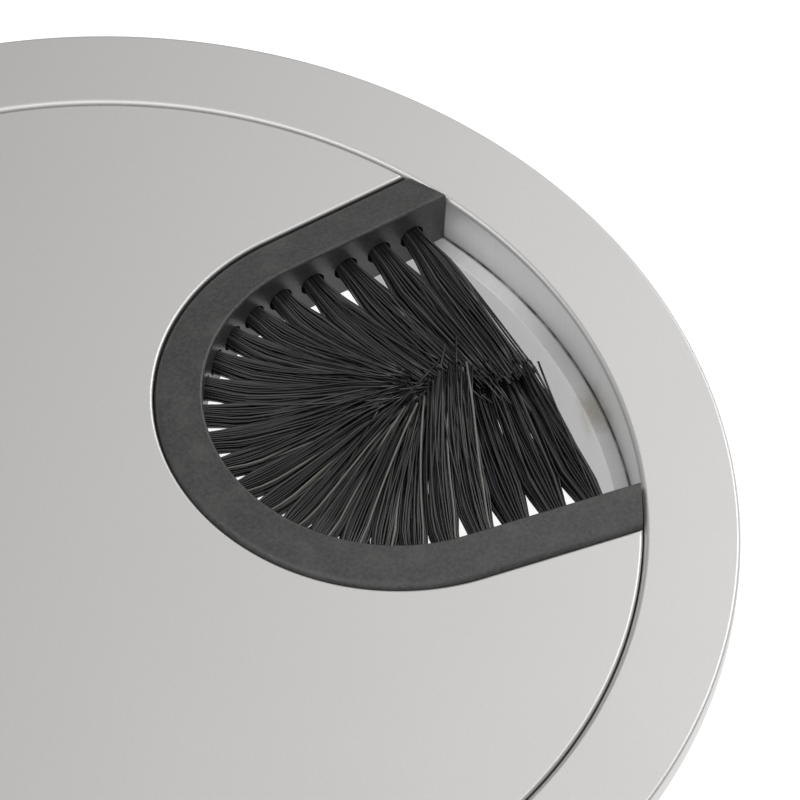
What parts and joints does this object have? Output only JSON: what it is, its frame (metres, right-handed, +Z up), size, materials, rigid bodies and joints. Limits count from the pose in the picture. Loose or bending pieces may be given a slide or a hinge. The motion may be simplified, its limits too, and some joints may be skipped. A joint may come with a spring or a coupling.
{
  "type": "cable grommet",
  "caption": "Round desk cable grommet: a flanged collar ring, a lift-out cover and a horseshoe brush that closes the cable slot.",
  "frame": {"origin": "on the collar's axis, in the plane of the flange's underside, which is the desk top's surface", "axes": "+Z up out of the desk top, along the collar's axis; +X from the centre to the mouth of the cable slot"},
  "size_m": [0.09, 0.09, 0.0156],
  "materials": {
    "ring_metal": "satin, stainless effect on a zinc casting",
    "cover_metal": "satin, stainless effect on a zinc casting",
    "frame_plastic": "moulded, fine matt texture",
    "anchor_wire": "drawn flat wire",
    "bristle": "black nylon filament with a slight sheen"
  },
  "bodies": {
    "root": {"ring": "ring_metal", "cover": "cover_metal", "brush_frame": "frame_plastic", "tuft_anchors": "anchor_wire", "bristle_tuft_01": "bristle", "bristle_tuft_02": "bristle", "bristle_tuft_03": "bristle", "bristle_tuft_04": "bristle", "bristle_tuft_05": "bristle", "bristle_tuft_06": "bristle", "bristle_tuft_07": "bristle", "bristle_tuft_08": "bristle", "bristle_tuft_09": "bristle", "bristle_tuft_10": "bristle", "bristle_tuft_11": "bristle", "bristle_tuft_12": "bristle", "bristle_tuft_13": "bristle", "bristle_tuft_14": "bristle", "bristle_tuft_15": "bristle", "bristle_tuft_16": "bristle", "bristle_tuft_17": "bristle", "bristle_tuft_18": "bristle", "bristle_tuft_19": "bristle", "bristle_tuft_20": "bristle", "bristle_tuft_21": "bristle", "bristle_tuft_22": "bristle", "bristle_tuft_23": "bristle", "bristle_tuft_24": "bristle"}
  },
  "joints": []
}
